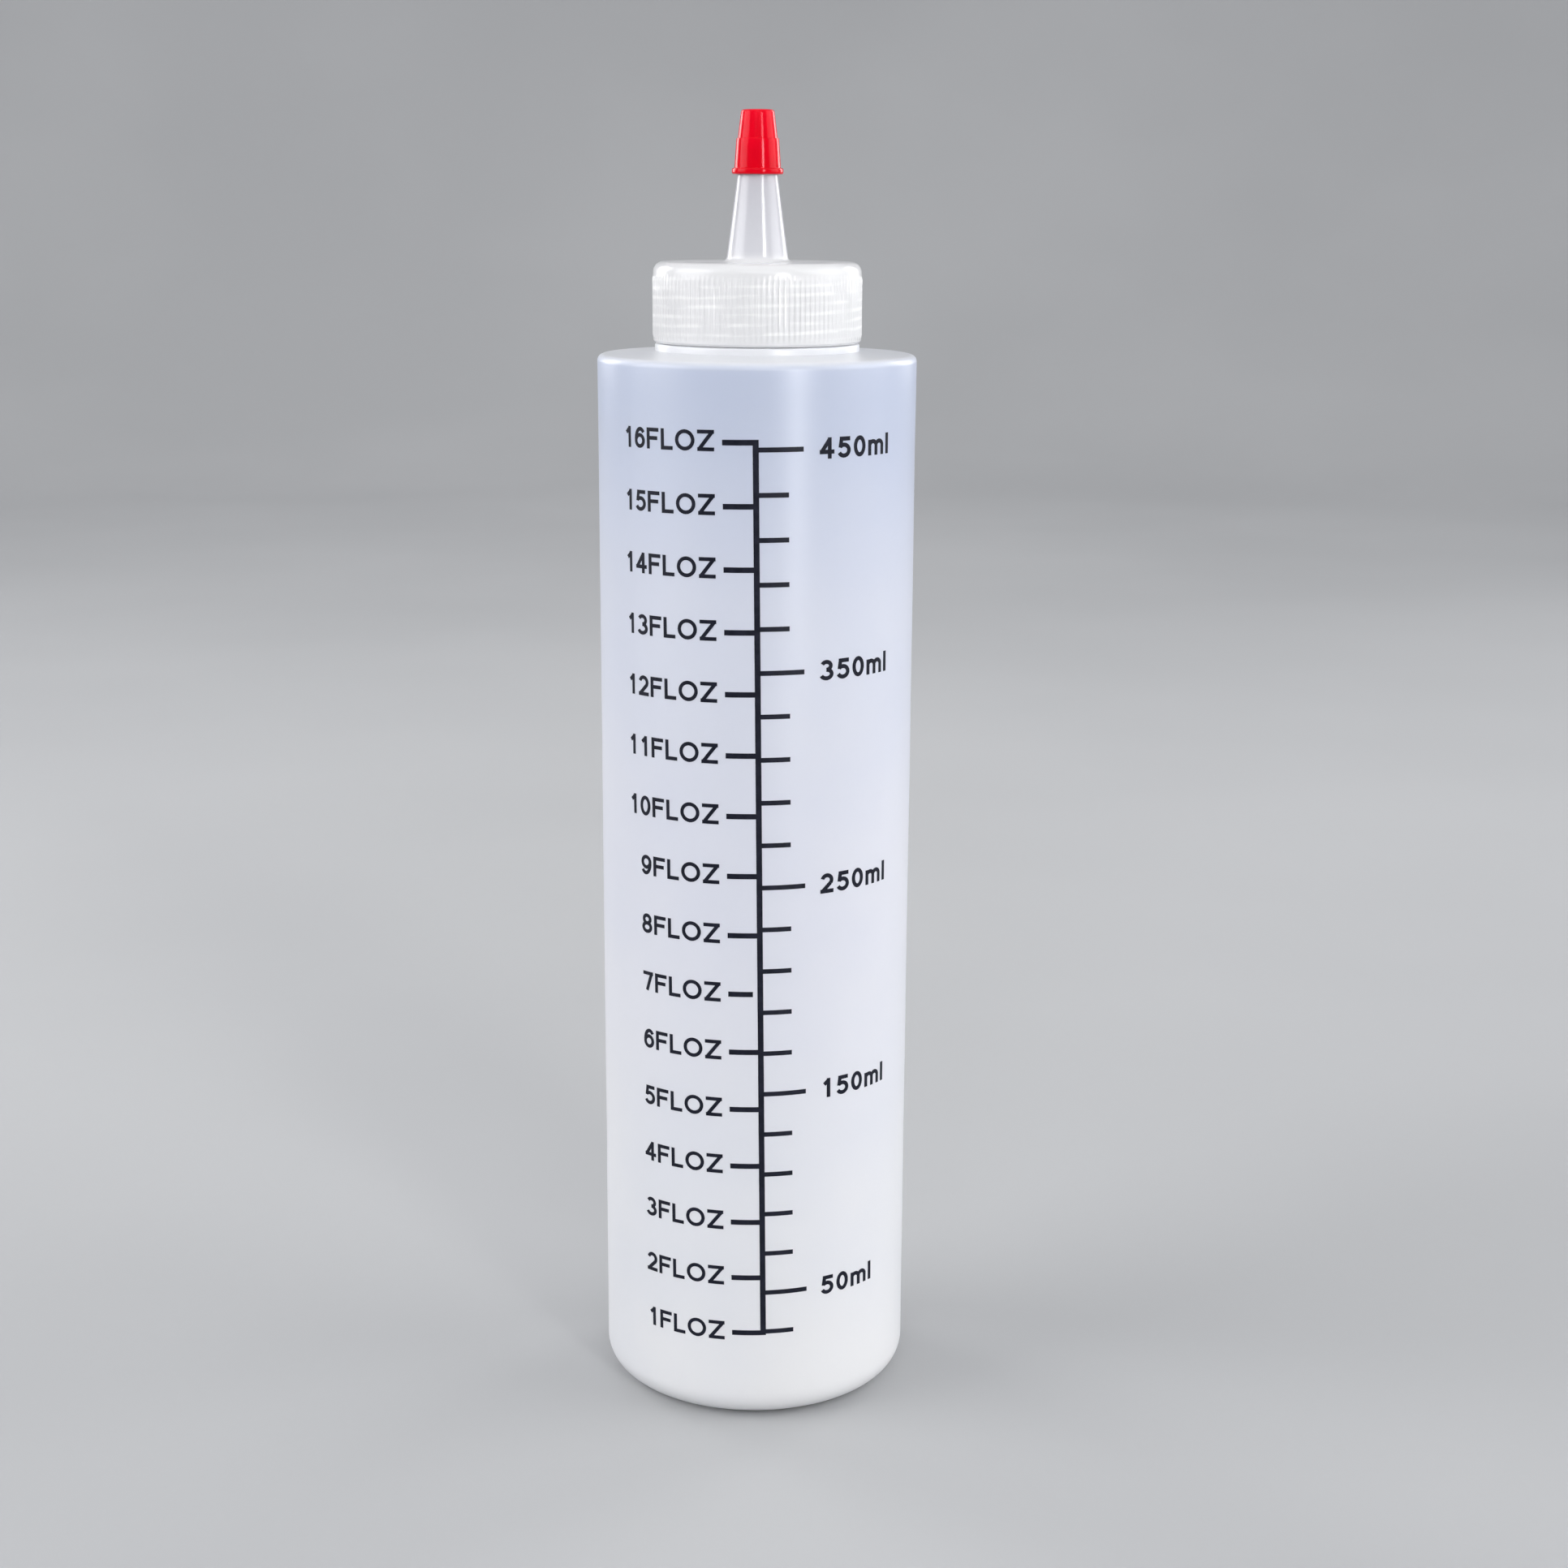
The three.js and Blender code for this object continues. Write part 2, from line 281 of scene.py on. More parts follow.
def ellipse(centre_x, centre_y, reach_x, reach_y, start, end, steps):
    """Points on a stretch of an ellipse, both ends included, angles in degrees."""
    points = []
    for i in range(steps + 1):
        angle = math.radians(start + (end - start) * i / steps)
        points.append((centre_x + reach_x * math.cos(angle), centre_y + reach_y * math.sin(angle)))
    return points


def arc(centre_radius, centre_height, radius, start, end, steps):
    """Points on a round stretch of a profile, both ends included, angles in degrees."""
    return ellipse(centre_radius, centre_height, radius, radius, start, end, steps)


def straight(start, end, steps):
    """Points between two points of a profile, without the two."""
    points = []
    for i in range(1, steps):
        share = i / steps
        points.append(tuple(a + (b - a) * share for a, b in zip(start, end)))
    return points


def dome_radius(edge_radius, rise):
    """Radius of the ball that a shallow dome is cut from."""
    return (edge_radius**2 + rise**2) / (2 * rise)


def dome(edge_radius, edge_height, rise, steps):
    """Points of a shallow dome from its middle on the axis to its edge."""
    radius = dome_radius(edge_radius, rise)
    half = math.degrees(math.asin(edge_radius / radius))
    return arc(0.0, edge_height + rise - radius, radius, 90, 90 - half, steps)


def even_angles(count):
    return [FULL_TURN * i / count for i in range(count)]


def mesh_object(name, vertices, faces):
    mesh = bpy.data.meshes.new(name)
    mesh.from_pydata(vertices, [], faces)
    mesh.shade_smooth()
    mesh.set_sharp_from_angle(angle=SMOOTH_UP_TO)
    piece = bpy.data.objects.new(name, mesh)
    bpy.context.scene.collection.objects.link(piece)
    return piece


def turned(name, profile, angles, closed=False, change=None):
    """Object turned about Z. The profile's points run anticlockwise, with the material on the left.
    change(index, angle) is added to the radius of a point of the profile."""
    vertices, rings, faces = [], [], []
    for index, (radius, height) in enumerate(profile):
        if radius < ON_AXIS:
            rings.append([len(vertices)] * len(angles))
            vertices.append((0.0, 0.0, height))
            continue
        rings.append(range(len(vertices), len(vertices) + len(angles)))
        for angle in angles:
            reach = radius + (change(index, angle) if change else 0.0)
            vertices.append((reach * math.cos(angle), reach * math.sin(angle), height))
    next_rings = rings[1:] + rings[:1] if closed else rings[1:]
    for low, high in zip(rings, next_rings):
        for j in range(len(angles)):
            k = (j + 1) % len(angles)
            face = list(dict.fromkeys((low[j], low[k], high[k], high[j])))
            if len(face) > 2:
                faces.append(face)
    return mesh_object(name, vertices, faces)


def face_outwards(piece):
    """Turns the faces of a closed mesh to the outside."""
    shape = bmesh.new()
    shape.from_mesh(piece.data)
    bmesh.ops.recalc_face_normals(shape, faces=shape.faces)
    shape.to_mesh(piece.data)
    shape.free()


def swept(name, sections):
    """Closed bar through a row of sections, which all have the same number of corners."""
    corners = len(sections[0])
    vertices = [corner for section in sections for corner in section]
    last = len(vertices) - corners
    faces = []
    for start in range(0, last, corners):
        after = start + corners
        for j in range(corners):
            k = (j + 1) % corners
            faces.append((start + j, start + k, after + k, after + j))
    faces += [range(corners), range(last, last + corners)]
    bar = mesh_object(name, vertices, faces)
    face_outwards(bar)
    return bar


def dress(piece, material, slot, body, *nodes):
    """Gives a piece its finish and its body, and hides the solids that it stands for."""
    piece.data.materials.append(material)
    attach(piece, body)
    if nodes:
        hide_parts(*nodes)


def add_node(tree, kind, values=None, **settings):
    node = tree.nodes.new(kind)
    for name, value in settings.items():
        setattr(node, name, value)
    for name, value in (values or {}).items():
        node.inputs[name].default_value = value
    return node


def new_material(name):
    material = bpy.data.materials.new(name)
    material.use_nodes = True
    return material, material.node_tree, material.node_tree.nodes["Principled BSDF"]


def place_of(tree, stretch=UNSTRETCHED):
    """Position on the piece in metres, stretched for a texture."""
    coordinates = add_node(tree, "ShaderNodeTexCoord")
    mapping = add_node(tree, "ShaderNodeMapping", {"Scale": stretch})
    tree.links.new(coordinates.outputs["Object"], mapping.inputs["Vector"])
    return mapping.outputs["Vector"]


def axes_of(tree):
    """Position on the piece in metres, by axis."""
    axes = add_node(tree, "ShaderNodeSeparateXYZ")
    tree.links.new(place_of(tree), axes.inputs["Vector"])
    return axes.outputs


def noise_of(tree, scale, detail=3.0, stretch=UNSTRETCHED):
    texture = add_node(tree, "ShaderNodeTexNoise", {"Scale": scale, "Detail": detail})
    tree.links.new(place_of(tree, stretch), texture.inputs["Vector"])
    return texture.outputs["Fac"]


def remap(tree, value, span, to_span, clamp=True):
    limits = {
        "From Min": span[0],
        "From Max": span[1],
        "To Min": to_span[0],
        "To Max": to_span[1],
    }
    node = add_node(tree, "ShaderNodeMapRange", limits, clamp=clamp)
    tree.links.new(value, node.inputs["Value"])
    return node.outputs["Result"]


def ramp_of(tree, value, stops):
    """Colours along a value from 0 to 1, as (position, colour) pairs."""
    node = add_node(tree, "ShaderNodeValToRGB")
    node.color_ramp.interpolation = "EASE"
    elements = node.color_ramp.elements
    while len(elements) < len(stops):
        elements.new(0.5)
    for element, (position, colour) in zip(elements, stops):
        element.position = position
        element.color = (*colour, 1.0)
    tree.links.new(value, node.inputs["Fac"])
    return node.outputs["Color"]


def blended(tree, first, second, share, mode="MIX"):
    """Mix of two colours. Each of them and the share is a constant or another node's output."""
    node = add_node(tree, "ShaderNodeMix", data_type="RGBA", blend_type=mode)
    for place, value in ((MIX_FIRST, first), (MIX_SECOND, second), (MIX_SHARE, share)):
        socket = node.inputs[place]
        if isinstance(value, tuple):
            socket.default_value = (*value, 1.0)
        elif isinstance(value, float):
            socket.default_value = value
        else:
            tree.links.new(value, socket)
    return node.outputs[MIX_RESULT]


def combined(tree, operation, first, second):
    node = add_node(tree, "ShaderNodeMath", operation=operation)
    tree.links.new(first, node.inputs[0])
    tree.links.new(second, node.inputs[1])
    return node.outputs["Value"]


def bumped(tree, shader, height, strength, distance):
    node = add_node(tree, "ShaderNodeBump", {"Strength": strength, "Distance": distance})
    tree.links.new(height, node.inputs["Height"])
    tree.links.new(node.outputs["Normal"], shader.inputs["Normal"])


def set_shader(shader, **values):
    """Constant values of a shader, by socket name with underscores for spaces."""
    for name, value in values.items():
        shader.inputs[name.replace("_", " ")].default_value = value


def moulded_plastic(name, tints, span, roughness, clouds, grain, streaks, highlight_bands=None, **constants):
    """Moulded polyethylene: a tint that changes with height (on the body and the spout partly
    painted shade and light), soft clouds, satin grain, upright streaks and, where a band share is
    given, pale bands of painted highlight."""
    material, tree, shader = new_material(name)
    tint = ramp_of(tree, remap(tree, axes_of(tree)["Z"], span, UNIT), tints)
    cloud_stops = tuple(zip(NOISE_SPAN, (clouds["dark"], WHITE)))
    cloud = ramp_of(tree, noise_of(tree, clouds["scale"]), cloud_stops)
    colour = blended(tree, tint, cloud, 1.0, "MULTIPLY")
    if highlight_bands:
        # Pale bands of painted highlight, where the screw thread shows through
        colour = blended(tree, colour, BAND_HIGHLIGHT, highlight_bands(tree))
    tree.links.new(colour, shader.inputs["Base Color"])
    patches = noise_of(tree, roughness["scale"], PATCH_DETAIL)
    gloss = remap(tree, patches, NOISE_SPAN, roughness["range"])
    tree.links.new(gloss, shader.inputs["Roughness"])
    fine = noise_of(tree, grain["scale"], GRAIN_DETAIL)
    fine = remap(tree, fine, UNIT, (0.0, grain["share"]))
    lines = noise_of(tree, streaks["scale"], stretch=STREAK_STRETCH)
    height = combined(tree, "ADD", fine, lines)
    bumped(tree, shader, height, streaks["strength"], streaks["depth"])
    set_shader(shader, **constants)
    return material


def body_plastic():
    return moulded_plastic(
        "milky_polyethylene",
        # Darker and bluer towards the shoulder: painted shade. Lighter towards the base. The last,
        # pale stop: painted light on the shoulder, bead and neck.
        tints=(
            (0.0, (0.90, 0.90, 0.91)),
            (0.16, (0.865, 0.87, 0.895)),
            (0.5, (0.805, 0.815, 0.88)),
            (0.76, (0.745, 0.77, 0.86)),
            (0.994, (0.59, 0.645, 0.79)),
            (1.0, (0.88, 0.89, 0.92)),
        ),
        span=(0.0, SHOULDER_HEIGHT),
        roughness={"scale": 70.0, "range": (0.285, 0.335)},
        clouds={"scale": 26.0, "dark": (0.95, 0.96, 0.985)},
        grain={"scale": 500.0, "share": 0.15},
        streaks={"scale": 130.0, "strength": 0.06, "depth": 0.2 * MM},
        Transmission_Weight=0.26,
        IOR=1.5,
    )


def painted_thread_highlights(tree):
    """Painted highlight in bands along the screw thread, as it shows through the cap's skirt: 1 on
    a ridge, 0 between two.
    """
    axes = axes_of(tree)
    angle = combined(tree, "ARCTAN2", axes["Y"], axes["X"])
    turn = remap(tree, angle, (0.0, FULL_TURN), (0.0, -BANDS_IN_PITCH), clamp=False)
    pitch = (THREAD_BASE, THREAD_BASE + THREAD_PITCH)
    rise = remap(tree, axes["Z"], pitch, (0.0, BANDS_IN_PITCH), clamp=False)
    wave = add_node(tree, "ShaderNodeMath", {1: BAND_PEAK}, operation="PINGPONG")
    tree.links.new(combined(tree, "ADD", turn, rise), wave.inputs[0])
    ridge = remap(tree, wave.outputs["Value"], BAND_EDGES, UNIT)
    # Noise that breaks the painted highlight bands into short pieces
    broken_up = remap(tree, noise_of(tree, **BAND_BREAKUP), BAND_BREAKUP_EDGES, UNIT)
    below_top = remap(tree, axes["Z"], BAND_TOP, UNIT[::-1])
    above_foot = remap(tree, axes["Z"], BAND_FOOT, UNIT)
    pattern = combined(tree, "MULTIPLY", ridge, broken_up)
    limits = combined(tree, "MULTIPLY", below_top, above_foot)
    return combined(tree, "MULTIPLY", pattern, limits)


def cap_plastic():
    return moulded_plastic(
        "natural_polyethylene",
        tints=(
            (0.0, (0.80, 0.80, 0.81)),
            (0.36, (0.82, 0.82, 0.83)),
            # From here up the spout is darker and greyer: painted shade of its hollow bore seen
            # through the wall.
            (0.42, (0.64, 0.64, 0.68)),
            (1.0, (0.53, 0.52, 0.57)),
        ),
        span=(CAP_FOOT, SPOUT_TOP),
        roughness={"scale": 160.0, "range": (0.15, 0.21)},
        clouds={"scale": 60.0, "dark": (0.97, 0.97, 0.975)},
        grain={"scale": 700.0, "share": 0.1},
        streaks={"scale": 420.0, "strength": 0.05, "depth": 0.1 * MM},
        # Painted highlight in bands along the screw thread inside the skirt
        highlight_bands=painted_thread_highlights,
        Transmission_Weight=0.16,
        IOR=1.5,
    )


def tip_plastic():
    return moulded_plastic(
        "red_polyethylene",
        tints=(
            (0.0, (0.66, 0.001, 0.011)),
            (0.5, (0.72, 0.001, 0.014)),
            (1.0, (0.76, 0.002, 0.017)),
        ),
        span=(TIP_LOW.z, TIP_HIGH.z),
        roughness={"scale": 420.0, "range": (0.1, 0.15)},
        clouds={"scale": 300.0, "dark": (0.92, 0.85, 0.85)},
        grain={"scale": 1200.0, "share": 0.1},
        streaks={"scale": 900.0, "strength": 0.03, "depth": 0.06 * MM},
        Subsurface_Weight=0.1,
        Subsurface_Radius=(1.0, 0.1, 0.1),
        Subsurface_Scale=0.5 * MM,
        IOR=1.42,
        Specular_IOR_Level=0.32,
        Specular_Tint=(1.0, 0.45, 0.5, 1.0),
    )


def gasket_foam():
    material, tree, shader = new_material("sealing_foam")
    tone = ramp_of(tree, noise_of(tree, FOAM_TONE_SCALE), FOAM_TONES)
    tree.links.new(tone, shader.inputs["Base Color"])
    cells = add_node(tree, "ShaderNodeTexVoronoi", {"Scale": FOAM_CELL_SCALE})
    tree.links.new(place_of(tree), cells.inputs["Vector"])
    distance = cells.outputs["Distance"]
    tree.links.new(remap(tree, distance, UNIT, FOAM_ROUGHNESS), shader.inputs["Roughness"])
    bumped(tree, shader, distance, FOAM_BUMP, FOAM_CELL_DEPTH)
    return material


def scale_ink():
    material, tree, shader = new_material("screen_print_ink")
    film = noise_of(tree, **INK_FILM)
    tree.links.new(ramp_of(tree, film, INK_TONES), shader.inputs["Base Color"])
    tree.links.new(remap(tree, film, NOISE_SPAN, INK_ROUGHNESS), shader.inputs["Roughness"])
    bumped(tree, shader, noise_of(tree, INK_GRAIN_SCALE), INK_BUMP, INK_GRAIN_DEPTH)
    set_shader(shader, Specular_IOR_Level=0.2)
    return material


def studio_paper():
    material, tree, shader = new_material("pale_studio_paper")
    tone = ramp_of(tree, noise_of(tree, PAPER_SCALE), PAPER_TONES)
    tree.links.new(tone, shader.inputs["Base Color"])
    set_shader(shader, Roughness=0.85, Specular_IOR_Level=0.2)
    return material


def wall_dip(angle, height):
    """Depth of the soft hollows in a blown wall. It fades out at the heel and the shoulder."""
    fade = ease((height - HEEL_RADIUS) / DIP_FADE)
    fade *= ease((EDGE_HEIGHT - height) / DIP_FADE)
    place = Vector((math.cos(angle), math.sin(angle), height / DIP_LENGTH)) * DIP_RATE
    return DIP_DEPTH * fade * (0.5 + 0.5 * noise.noise(place))


def parting_line(angle):
    """Height of the mould's parting line, which runs up both sides at +X and -X."""
    off = abs(math.remainder(angle, math.pi))
    return PARTING_HEIGHT * max(0.0, 1.0 - off / PARTING_HALF_ANGLE)


def body_outside():
    """Profile of the outside, from the middle of the base to the rim of the neck."""
    return [
        *dome(STAND_INNER, 0.0, PUSH_UP, DOME_STEPS),
        *straight((STAND_INNER, 0.0), (STAND_OUTER, 0.0), RING_STEPS),
        *arc(STAND_OUTER, HEEL_RADIUS, HEEL_RADIUS, -90, 0, HEEL_STEPS),
        *straight((WALL_RADIUS, HEEL_RADIUS), (WALL_RADIUS, EDGE_HEIGHT), WALL_ROWS),
        *arc(EDGE_RADIUS, EDGE_HEIGHT, SHOULDER_EDGE, 0, 90, EDGE_STEPS),
        *straight((EDGE_RADIUS, SHOULDER_HEIGHT), (BEAD_RADIUS, NECK_FOOT), SHOULDER_STEPS),
        (BEAD_RADIUS, NECK_FOOT),
        *arc(BEAD_RADIUS - RIM_ROUND, BEAD_TOP - RIM_ROUND, RIM_ROUND, 0, 90, BEAD_STEPS),
        (NECK_RADIUS, BEAD_TOP),
        *arc(NECK_RADIUS - RIM_ROUND, RIM_HEIGHT, RIM_ROUND, 0, 90, RIM_STEPS),
    ]


def body_inside():
    """Profile of the inside, from the rim of the neck to the middle of the floor."""
    heel = HEEL_RADIUS - WALL
    heel_height = BASE_THICKNESS + heel
    inner_wall = WALL_RADIUS - WALL
    return [
        *arc(NECK_BORE + RIM_ROUND, RIM_HEIGHT, RIM_ROUND, 90, 180, RIM_STEPS),
        (NECK_BORE, NECK_FOOT),
        (NECK_BORE + WALL, NECK_FOOT - WALL),
        *arc(EDGE_RADIUS, EDGE_HEIGHT, SHOULDER_EDGE - WALL, 90, 0, INNER_EDGE_STEPS),
        *straight((inner_wall, EDGE_HEIGHT), (inner_wall, heel_height), WALL_ROWS),
        *arc(STAND_OUTER, heel_height, heel, 0, -90, INNER_HEEL_STEPS),
        *reversed(dome(STAND_INNER, BASE_THICKNESS, PUSH_UP, DOME_STEPS)),
    ]


def body_angles():
    """Even steps round the wall, with finer ones at the two parting lines."""
    angles = even_angles(BODY_SIDES)
    for side in (0.0, math.pi):
        for step in PARTING_STEPS:
            angles += [side + math.radians(step), side - math.radians(step)]
    return sorted(angle % FULL_TURN for angle in angles)


def bottle_shell(material):
    outside = body_outside()
    profile = outside + body_inside()

    def change(index, angle):
        radius, height = profile[index]
        offset = -wall_dip(angle, height)
        on_outside = index < len(outside)
        if on_outside and radius > BEAD_RADIUS and height > 0.0:
            offset += parting_line(angle)
        return offset

    shell = turned("bottle_shell", profile, body_angles(), change=change)
    dress(shell, material, "bottle_plastic", "bottle", "bottle_body")


def pinch_off_seam(material):
    """Low ridge across the push-up, where the mould pinches the blown tube shut."""
    radius = dome_radius(STAND_INNER, PUSH_UP)
    sections = []
    for i in range(PINCH_STEPS + 1):
        share = 2.0 * i / PINCH_STEPS - 1.0
        across = share * PINCH_LENGTH / 2
        ceiling = math.sqrt(radius**2 - across**2) + PUSH_UP - radius
        drop = PINCH_HEIGHT * ease((1.0 - abs(share)) * PINCH_END_SLOPE)
        corners = (
            (-PINCH_ROOT_SHARE, PINCH_HEIGHT),
            (-PINCH_CREST_SHARE, -drop),
            (PINCH_CREST_SHARE, -drop),
            (PINCH_ROOT_SHARE, PINCH_HEIGHT),
        )
        sections.append([(across, side * PINCH_WIDTH, ceiling + level) for side, level in corners])
    seam = swept("pinch_off_seam", sections)
    dress(seam, material, "bottle_plastic", "bottle")


def thread_ridge(name, root, crest, turns, lead):
    """Ridge on a right-hand helix that stands on the root radius and runs out into the wall."""
    first_turn, last_turn = turns
    steps = round((last_turn - first_turn) * THREAD_STEPS)
    foot = root - math.copysign(THREAD_SINK, crest - root)
    sections = []
    for i in range(steps + 1):
        turn = first_turn + (last_turn - first_turn) * i / steps
        height = THREAD_BASE + THREAD_PITCH * (turn + lead)
        angle = FULL_TURN * turn
        rise = ease(min(turn - first_turn, last_turn - turn) / THREAD_RUN_OUT)
        top = root + (crest - root) * rise
        corners = (
            (foot, -THREAD_FOOT_WIDTH / 2),
            (top, -THREAD_CREST_WIDTH / 2),
            (top, THREAD_CREST_WIDTH / 2),
            (foot, THREAD_FOOT_WIDTH / 2),
        )
        sections.append([
            (radius * math.cos(angle), radius * math.sin(angle), height + level)
            for radius, level in corners
        ])
    return swept(name, sections)


def neck_thread(material):
    ridge = thread_ridge(
        "neck_thread", NECK_RADIUS, NECK_THREAD_CREST, NECK_THREAD_TURNS, NECK_THREAD_LEAD
    )
    dress(ridge, material, "bottle_plastic", "bottle")


def cap_thread(material):
    ridge = thread_ridge(
        "cap_thread", CAP_BORE, CAP_THREAD_CREST, CAP_THREAD_TURNS, CAP_THREAD_LEAD
    )
    dress(ridge, material, "cap_plastic", "cap")


def rib_profile(angle):
    """Share of a grip rib's height at an angle: flat crest, sloping sides, flat valley."""
    share = abs(math.remainder(angle * RIB_COUNT / FULL_TURN, 1.0))
    return ease((RIB_FOOT - share) / (RIB_FOOT - RIB_CREST))


def spout_radius(height):
    share = (height - CAP_TOP) / (SPOUT_TOP - CAP_TOP)
    return SPOUT_BASE_RADIUS + (SPOUT_TIP_RADIUS - SPOUT_BASE_RADIUS) * share


def cap_profile():
    """Closed profile of the cap: skirt, plate, spout, bore, collar and the inside of the skirt."""
    edge = CAP_RADIUS - CAP_EDGE
    ceiling = CAP_TOP - CAP_PLATE
    collar_foot = ceiling - COLLAR_DEPTH
    collar_bore = COLLAR_RADIUS - COLLAR_WALL
    ribs_low = (CAP_RADIUS, RIB_BAND_LOW + RIB_END)
    ribs_high = (CAP_RADIUS, RIB_BAND_HIGH - RIB_END)
    fillet_height = CAP_TOP + SPOUT_FILLET
    fillet_radius = spout_radius(fillet_height) + SPOUT_FILLET
    cone_foot = (spout_radius(fillet_height), fillet_height)
    tip_height = SPOUT_TOP - SPOUT_ROUND
    cone_top = (spout_radius(tip_height), tip_height)
    bore_top = SPOUT_TOP - ORIFICE_LENGTH
    bore_foot = spout_radius(CAP_TOP) - SPOUT_WALL
    return [
        (CAP_BORE, CAP_FOOT),
        (CAP_RADIUS - CAP_CHAMFER, CAP_FOOT),
        (CAP_RADIUS, CAP_FOOT + CAP_CHAMFER),
        (CAP_RADIUS, RIB_BAND_LOW),
        ribs_low,
        *straight(ribs_low, ribs_high, RIB_ROWS),
        ribs_high,
        (CAP_RADIUS, RIB_BAND_HIGH),
        *arc(edge, CAP_TOP - CAP_EDGE, CAP_EDGE, 0, 90, CAP_EDGE_STEPS),
        *straight((edge, CAP_TOP), (fillet_radius, CAP_TOP), CAP_PLATE_STEPS),
        *arc(fillet_radius, fillet_height, SPOUT_FILLET, -90, -180, SPOUT_FILLET_STEPS),
        *straight(cone_foot, cone_top, SPOUT_ROWS),
        *arc(SPOUT_TIP_RADIUS - SPOUT_ROUND, tip_height, SPOUT_ROUND, 0, 90, SPOUT_ROUND_STEPS),
        (ORIFICE_RADIUS, SPOUT_TOP),
        (ORIFICE_RADIUS, bore_top),
        (bore_foot, CAP_TOP - CAP_PLATE / 2),
        (bore_foot + CAP_CHAMFER, ceiling),
        (collar_bore, ceiling),
        (collar_bore, collar_foot),
        (COLLAR_RADIUS - CAP_CHAMFER, collar_foot),
        (COLLAR_RADIUS, collar_foot + CAP_CHAMFER),
        (COLLAR_RADIUS, ceiling),
        (CAP_BORE, ceiling),
    ]


def cap_angles():
    """Steps round the cap that follow the crests, sides and valleys of its ribs."""
    angles = []
    for rib in range(RIB_COUNT):
        angles += [(rib + share) * FULL_TURN / RIB_COUNT for share in RIB_SHARES]
    return angles


def spout_cap_shell(material):
    profile = cap_profile()

    def change(index, angle):
        radius, height = profile[index]
        if radius < CAP_RADIUS or not RIB_BAND_LOW < height < RIB_BAND_HIGH:
            return 0.0
        return RIB_HEIGHT * rib_profile(angle)

    shell = turned("spout_cap_shell", profile, cap_angles(), closed=True, change=change)
    dress(shell, material, "cap_plastic", "cap", "spout_cap")


def sealing_ring(material):
    inner, outer = GASKET_BORE + GASKET_ROUND, GASKET_HIGH.x - GASKET_ROUND
    low, high = GASKET_LOW.z + GASKET_ROUND, GASKET_HIGH.z - GASKET_ROUND
    profile = [
        *arc(outer, low, GASKET_ROUND, -90, 0, GASKET_ROUND_STEPS),
        *arc(outer, high, GASKET_ROUND, 0, 90, GASKET_ROUND_STEPS),
        *arc(inner, high, GASKET_ROUND, 90, 180, GASKET_ROUND_STEPS),
        *arc(inner, low, GASKET_ROUND, 180, 270, GASKET_ROUND_STEPS),
    ]
    ring = turned("sealing_ring", profile, even_angles(GASKET_SIDES), closed=True)
    dress(ring, material, "gasket_foam", "gasket", "cap_gasket")


def tip_sealer(material):
    low, high = TIP_LOW.z, TIP_HIGH.z
    rim_centre = TIP_HIGH.x - TIP_RIM_ROUND
    rim_top = low + TIP_RIM_HEIGHT
    socket_top = SPOUT_TOP + TIP_CLEARANCE
    step = low + TIP_STEP_SHARE * (high - low)
    step_centre = TIP_SKIRT_RADIUS - TIP_STEP_ROUND
    top_centre = TIP_TOP_RADIUS - TIP_TOP_ROUND
    top_edge = high - TIP_TOP_ROUND
    profile = [
        (0.0, socket_top),
        (SPOUT_TIP_RADIUS + TIP_CLEARANCE, socket_top),
        (spout_radius(low) + TIP_CLEARANCE, low),
        *arc(rim_centre, low + TIP_RIM_ROUND, TIP_RIM_ROUND, -90, 0, TIP_RIM_STEPS),
        *arc(rim_centre, rim_top - TIP_RIM_ROUND, TIP_RIM_ROUND, 0, 90, TIP_RIM_STEPS),
        (TIP_FOOT_RADIUS, rim_top),
        *straight((TIP_FOOT_RADIUS, rim_top), (TIP_SKIRT_RADIUS, step), TIP_ROWS),
        *arc(step_centre, step - TIP_STEP_ROUND, TIP_STEP_ROUND, 0, 90, TIP_STEP_STEPS),
        (TIP_STEP_RADIUS, step),
        *straight((TIP_STEP_RADIUS, step), (TIP_TOP_RADIUS, top_edge), TIP_ROWS),
        *arc(top_centre, top_edge, TIP_TOP_ROUND, 0, 90, TIP_TOP_STEPS),
        (0.0, high),
    ]
    sealer = turned("tip_sealer", profile, even_angles(TIP_SIDES))
    dress(sealer, material, "tip_plastic", "tip", "tip_cap")


def bow(centre_x, centre_y, reach_x, reach_y, start, end):
    """Curved stroke of a figure, as points in its unit box, angles in degrees."""
    return ellipse(centre_x, centre_y, reach_x, reach_y, start, end, BOW_STEPS)


def turned_over(strokes):
    """A figure upside down, such as a 9 from a 6."""
    return [[(1.0 - x, 1.0 - y) for x, y in stroke] for stroke in strokes]


